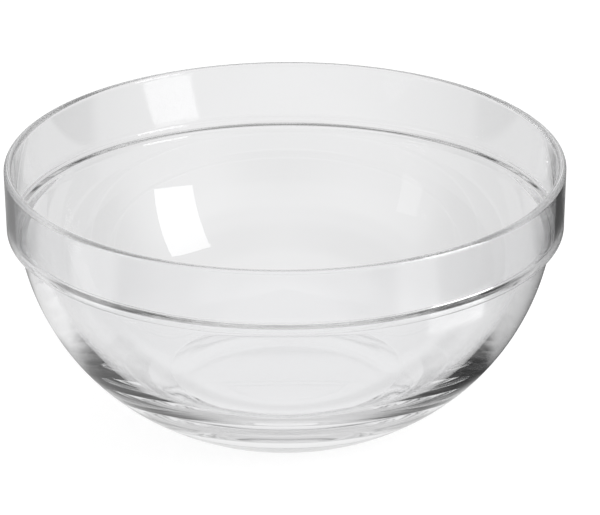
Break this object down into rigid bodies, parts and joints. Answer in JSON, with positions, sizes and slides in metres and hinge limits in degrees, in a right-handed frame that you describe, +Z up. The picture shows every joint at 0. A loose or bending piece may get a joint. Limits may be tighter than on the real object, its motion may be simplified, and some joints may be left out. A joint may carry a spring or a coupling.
{
  "type": "stackable glass prep bowl",
  "caption": "Round clear glass bowl with curved sides, a short upright collar above a stacking step, an inner ledge and a flat foot.",
  "frame": {"origin": "centre of the foot, on the surface that the bowl stands on", "axes": "+Z up along the bowl's own axis, towards the open rim; the bowl is round, so +X and +Y are free"},
  "size_m": [0.1998, 0.1998, 0.0925],
  "materials": {
    "glass": "clear, smooth and glossy, as pressed"
  },
  "bodies": {
    "root": {"bowl": "glass"}
  },
  "joints": []
}
